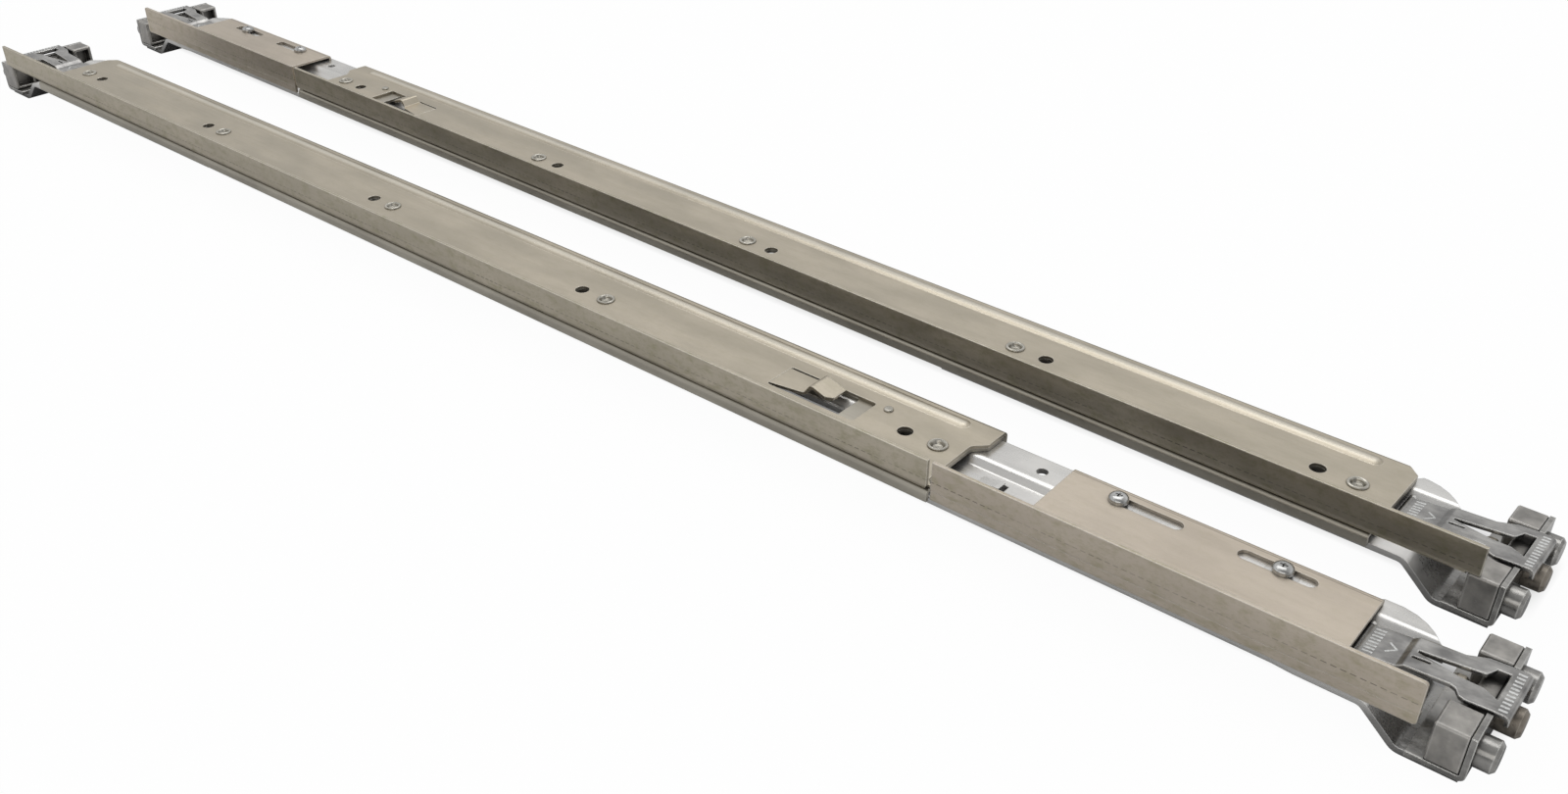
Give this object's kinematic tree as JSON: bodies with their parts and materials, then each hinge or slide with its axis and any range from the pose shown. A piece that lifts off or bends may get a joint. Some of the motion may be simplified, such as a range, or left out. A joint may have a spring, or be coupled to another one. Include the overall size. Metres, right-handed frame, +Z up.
{
  "type": "adjustable server rack rail pair",
  "caption": "Left and right slotted-depth rack rails with ledges, sprung latches and round pins for a server one rack unit high.",
  "frame": {"origin": "middle of the pair's footprint, on the surface that it lies on", "axes": "+X along the rails, towards the rear post end of the left rail; +Y across the pair, from the left rail's ledge wall towards the right rail; +Z up, out of the faces that meet the server"},
  "size_m": [0.7848, 0.1272, 0.0266],
  "materials": {
    "rail_steel": "satin galvanised sheet",
    "channel_steel": "satin zinc plated sheet",
    "extension_steel": "satin galvanised sheet",
    "bracket_zinc": "bright zinc",
    "latch_zinc": "zinc passivated",
    "die_cast": "as cast",
    "pin_steel": "zinc plated",
    "boss_cast": "as cast",
    "rivet_steel": "bright zinc",
    "screw_steel": "bright nickel",
    "spring_steel": "bright"
  },
  "bodies": {
    "main_rails": {"left_ledge_rail": "rail_steel", "right_ledge_rail": "rail_steel", "left_channel": "channel_steel", "right_channel": "channel_steel", "left_web_rivets": "rivet_steel", "right_web_rivets": "rivet_steel", "left_bracket_rivets": "rivet_steel", "right_bracket_rivets": "rivet_steel", "left_guide_rivet": "rivet_steel", "right_guide_rivet": "rivet_steel", "left_stop_pip": "rivet_steel", "right_stop_pip": "rivet_steel", "left_front_bracket": "bracket_zinc", "right_front_bracket": "bracket_zinc", "left_front_pin_plate": "bracket_zinc", "right_front_pin_plate": "bracket_zinc", "left_front_pin_blocks": "die_cast", "right_front_pin_blocks": "die_cast", "left_front_rack_pins": "pin_steel", "right_front_rack_pins": "pin_steel", "left_front_centre_boss": "boss_cast", "right_front_centre_boss": "boss_cast", "left_front_latch_pin": "rivet_steel", "right_front_latch_pin": "rivet_steel", "left_front_latch_spring": "spring_steel", "right_front_latch_spring": "spring_steel"},
    "left_slide": {"left_slide_bracket": "bracket_zinc", "left_ledge_extension": "extension_steel", "left_clamp_screws": "screw_steel", "left_clamp_nuts": "screw_steel", "left_rear_pin_plate": "bracket_zinc", "left_rear_pin_blocks": "die_cast", "left_rear_rack_pins": "pin_steel", "left_rear_centre_boss": "boss_cast", "left_rear_latch_pin": "rivet_steel", "left_rear_latch_spring": "spring_steel"},
    "left_tongue": {"left_tongue": "rail_steel"},
    "left_front_latch": {"left_front_latch_lever": "latch_zinc"},
    "left_rear_latch": {"left_rear_latch_lever": "latch_zinc"},
    "right_slide": {"right_slide_bracket": "bracket_zinc", "right_ledge_extension": "extension_steel", "right_clamp_screws": "screw_steel", "right_clamp_nuts": "screw_steel", "right_rear_pin_plate": "bracket_zinc", "right_rear_pin_blocks": "die_cast", "right_rear_rack_pins": "pin_steel", "right_rear_centre_boss": "boss_cast", "right_rear_latch_pin": "rivet_steel", "right_rear_latch_spring": "spring_steel"},
    "right_tongue": {"right_tongue": "rail_steel"},
    "right_front_latch": {"right_front_latch_lever": "latch_zinc"},
    "right_rear_latch": {"right_rear_latch_lever": "latch_zinc"}
  },
  "joints": [
    {"name": "left_depth_slide", "type": "slide", "parent": "main_rails", "child": "left_slide", "axis": [1, 0, 0], "range_m": [0, 0.15]},
    {"name": "left_tongue_hinge", "type": "hinge", "parent": "main_rails", "child": "left_tongue", "pos_m": [0.14546, -0.04168, 0.015], "axis": [0, 1, 0], "range_deg": [0, 4], "stiffness_Nm_per_rad": 1, "springref_deg": -1.72},
    {"name": "left_front_latch_hinge", "type": "hinge", "parent": "main_rails", "child": "left_front_latch", "pos_m": [-0.33665, -0.04168, 0.012], "axis": [0, 1, 0], "range_deg": [0, 15], "stiffness_Nm_per_rad": 0.5, "springref_deg": -5.73},
    {"name": "left_rear_latch_hinge", "type": "hinge", "parent": "left_slide", "child": "left_rear_latch", "pos_m": [0.34896, -0.04168, 0.012], "axis": [0, -1, 0], "range_deg": [0, 15], "stiffness_Nm_per_rad": 0.5, "springref_deg": -5.73},
    {"name": "right_depth_slide", "type": "slide", "parent": "main_rails", "child": "right_slide", "axis": [-0.9997, 0.025, 0], "range_m": [0, 0.15]},
    {"name": "right_tongue_hinge", "type": "hinge", "parent": "main_rails", "child": "right_tongue", "pos_m": [-0.14545, 0.03589, 0.015], "axis": [-0.025, -0.9997, 0], "range_deg": [0, 4], "stiffness_Nm_per_rad": 1, "springref_deg": -1.72},
    {"name": "right_front_latch_hinge", "type": "hinge", "parent": "main_rails", "child": "right_front_latch", "pos_m": [0.3365, 0.02386, 0.012], "axis": [-0.025, -0.9997, 0], "range_deg": [0, 15], "stiffness_Nm_per_rad": 0.5, "springref_deg": -5.73},
    {"name": "right_rear_latch_hinge", "type": "hinge", "parent": "right_slide", "child": "right_rear_latch", "pos_m": [-0.34889, 0.04097, 0.012], "axis": [0.025, 0.9997, 0], "range_deg": [0, 15], "stiffness_Nm_per_rad": 0.5, "springref_deg": -5.73}
  ]
}
